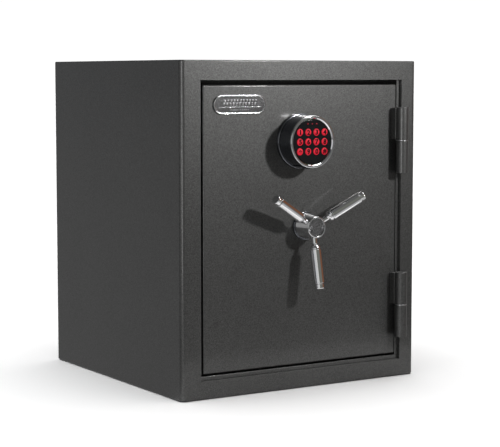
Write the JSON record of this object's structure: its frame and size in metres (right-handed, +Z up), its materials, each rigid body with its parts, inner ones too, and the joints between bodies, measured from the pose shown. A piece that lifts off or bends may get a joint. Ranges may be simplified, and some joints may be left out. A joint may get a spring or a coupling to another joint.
{
  "type": "security safe",
  "caption": "Upright fire-lined steel safe: side-hinged door, round electronic keypad, three-spoke handle that throws sliding bolts, shelf inside.",
  "frame": {"origin": "centre of the flat underside that the safe stands on", "axes": "+Z up, the door's face looks along -Y, the hinges are at +X"},
  "size_m": [0.445, 0.4825, 0.52],
  "materials": {
    "body_paint": "charcoal metallic powder coat, fine speckle",
    "liner_paint": "satin grey paint",
    "fire_board": "cast fire-resistant fill",
    "seal_rubber": "matt black rubber",
    "mat_felt": "short black pile",
    "chrome": "polished",
    "steel": "turned",
    "zinc": "zinc plated",
    "bronze": "turned bronze",
    "black_gloss": "black gloss",
    "red_key": "backlit red",
    "circuit_board": "green board",
    "battery_jacket": "printed sleeve without lettering",
    "lead_jacket": "black jacket",
    "plate_silver": "dark silver, textured, no lettering"
  },
  "bodies": {
    "cabinet": {"body_shell": "body_paint", "back_panel": "body_paint", "door_frame": "body_paint", "door_seal": "seal_rubber", "inner_liner": "liner_paint", "fire_fill": "fire_board", "floor_mat": "mat_felt", "anchor_plug": "seal_rubber", "shelf": "liner_paint", "shelf_rail_left": "liner_paint", "shelf_rail_right": "liner_paint", "lower_hinge_frame_knuckle": "body_paint", "upper_hinge_frame_knuckle": "body_paint", "lower_hinge_pin": "steel", "upper_hinge_pin": "steel"},
    "door": {"door_pan": "body_paint", "door_fill": "fire_board", "boltwork_housing": "liner_paint", "boltwork_cover": "liner_paint", "dead_bolt_1": "chrome", "dead_bolt_2": "chrome", "handle_rose": "chrome", "shaft_bush": "bronze", "lock_body": "zinc", "lock_lead": "lead_jacket", "keypad_base": "chrome", "keypad_housing": "black_gloss", "keypad_bezel": "chrome", "keypad_face": "black_gloss", "status_lights": "red_key", "keypad_board": "circuit_board", "name_plate": "plate_silver", "lower_hinge_door_knuckle": "body_paint", "upper_hinge_door_knuckle": "body_paint"},
    "boltwork": {"bolt_carriage": "zinc", "live_bolt_1": "chrome", "live_bolt_2": "chrome", "live_bolt_3": "chrome"},
    "handle": {"handle_hub": "chrome", "spoke_1": "chrome", "spoke_2": "chrome", "spoke_3": "chrome", "handle_shaft": "steel", "crank": "zinc", "shaft_nut": "steel"},
    "lock_bolt": {"lock_bolt": "steel"},
    "battery_drawer": {"battery_drawer": "black_gloss", "battery": "battery_jacket"},
    "key_1": {"key_1": "red_key"},
    "key_2": {"key_2": "red_key"},
    "key_3": {"key_3": "red_key"},
    "key_4": {"key_4": "red_key"},
    "key_5": {"key_5": "red_key"},
    "key_6": {"key_6": "red_key"},
    "key_7": {"key_7": "red_key"},
    "key_8": {"key_8": "red_key"},
    "key_star": {"key_star": "red_key"},
    "key_9": {"key_9": "red_key"},
    "key_0": {"key_0": "red_key"},
    "key_hash": {"key_hash": "red_key"}
  },
  "joints": [
    {"name": "door_hinge", "type": "hinge", "parent": "cabinet", "child": "door", "pos_m": [0.1875, -0.229, 0.26], "axis": [0, 0, 1], "range_deg": [0, 175]},
    {"name": "handle_turn", "type": "hinge", "parent": "door", "child": "handle", "pos_m": [0.006, -0.2185, 0.259], "axis": [0, -1, 0], "range_deg": [0, 45]},
    {"name": "bolt_throw", "type": "slide", "parent": "door", "child": "boltwork", "axis": [-1, 0, 0], "range_m": [0, 0.02612]},
    {"name": "lock_bolt_slide", "type": "slide", "parent": "door", "child": "lock_bolt", "axis": [0, 0, -1], "range_m": [0, 0.012]},
    {"name": "battery_drawer_slide", "type": "slide", "parent": "door", "child": "battery_drawer", "axis": [0, 0, -1], "range_m": [0, 0.03]},
    {"name": "key_1_press", "type": "slide", "parent": "door", "child": "key_1", "axis": [0, 1, 0], "range_m": [0, 0.0008], "stiffness_N_per_m": 800},
    {"name": "key_2_press", "type": "slide", "parent": "door", "child": "key_2", "axis": [0, 1, 0], "range_m": [0, 0.0008], "stiffness_N_per_m": 800},
    {"name": "key_3_press", "type": "slide", "parent": "door", "child": "key_3", "axis": [0, 1, 0], "range_m": [0, 0.0008], "stiffness_N_per_m": 800},
    {"name": "key_4_press", "type": "slide", "parent": "door", "child": "key_4", "axis": [0, 1, 0], "range_m": [0, 0.0008], "stiffness_N_per_m": 800},
    {"name": "key_5_press", "type": "slide", "parent": "door", "child": "key_5", "axis": [0, 1, 0], "range_m": [0, 0.0008], "stiffness_N_per_m": 800},
    {"name": "key_6_press", "type": "slide", "parent": "door", "child": "key_6", "axis": [0, 1, 0], "range_m": [0, 0.0008], "stiffness_N_per_m": 800},
    {"name": "key_7_press", "type": "slide", "parent": "door", "child": "key_7", "axis": [0, 1, 0], "range_m": [0, 0.0008], "stiffness_N_per_m": 800},
    {"name": "key_8_press", "type": "slide", "parent": "door", "child": "key_8", "axis": [0, 1, 0], "range_m": [0, 0.0008], "stiffness_N_per_m": 800},
    {"name": "key_star_press", "type": "slide", "parent": "door", "child": "key_star", "axis": [0, 1, 0], "range_m": [0, 0.0008], "stiffness_N_per_m": 800},
    {"name": "key_9_press", "type": "slide", "parent": "door", "child": "key_9", "axis": [0, 1, 0], "range_m": [0, 0.0008], "stiffness_N_per_m": 800},
    {"name": "key_0_press", "type": "slide", "parent": "door", "child": "key_0", "axis": [0, 1, 0], "range_m": [0, 0.0008], "stiffness_N_per_m": 800},
    {"name": "key_hash_press", "type": "slide", "parent": "door", "child": "key_hash", "axis": [0, 1, 0], "range_m": [0, 0.0008], "stiffness_N_per_m": 800}
  ],
  "couplings": [
    {"joint": "bolt_throw", "follows": "handle_turn", "m_per_rad": 0.033133}
  ]
}
